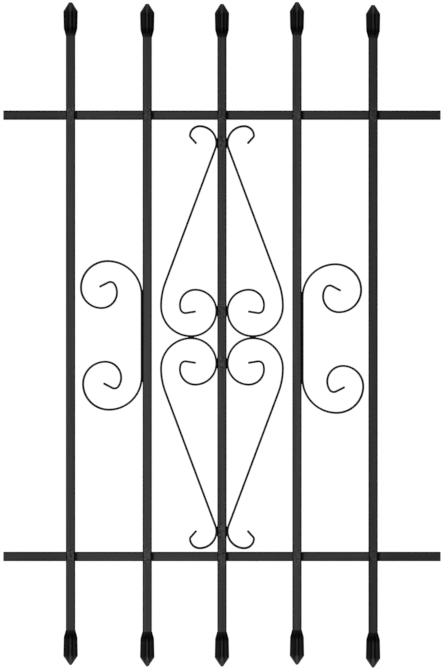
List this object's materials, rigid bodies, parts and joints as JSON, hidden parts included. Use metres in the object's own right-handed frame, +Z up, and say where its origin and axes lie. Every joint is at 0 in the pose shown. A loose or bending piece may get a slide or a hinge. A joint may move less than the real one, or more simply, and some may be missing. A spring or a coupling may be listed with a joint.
{
  "type": "window security grille",
  "caption": "Wall-mounted steel window grille: square-tube bars with fluted spear ends, two rails behind them, heart scrolls and C-scrolls.",
  "frame": {"origin": "centre of the lower rail's back face, which lies against the wall or window frame", "axes": "+Z up along the bars, +X along the rails to the right seen from the front, +Y into the wall, so the front faces -Y"},
  "size_m": [0.6096, 0.0291, 0.927],
  "materials": {
    "bars": "satin black powder coat on steel tube",
    "rails": "satin black powder coat on steel tube",
    "spears": "satin black powder coat on cast steel",
    "scrolls": "satin black powder coat on flat steel strip",
    "welds": "rippled weld metal under satin black powder coat"
  },
  "bodies": {
    "root": {"upper_rail": "rails", "lower_rail": "rails", "bar_1": "bars", "bar_2": "bars", "bar_3": "bars", "bar_4": "bars", "bar_5": "bars", "upper_spear_1": "spears", "upper_spear_2": "spears", "upper_spear_3": "spears", "upper_spear_4": "spears", "upper_spear_5": "spears", "lower_spear_1": "spears", "lower_spear_2": "spears", "lower_spear_3": "spears", "lower_spear_4": "spears", "lower_spear_5": "spears", "heart_scroll_upper_left": "scrolls", "heart_scroll_upper_right": "scrolls", "heart_scroll_lower_left": "scrolls", "heart_scroll_lower_right": "scrolls", "c_scroll_left": "scrolls", "c_scroll_right": "scrolls", "crossing_welds": "welds", "scroll_welds": "welds"}
  },
  "joints": []
}
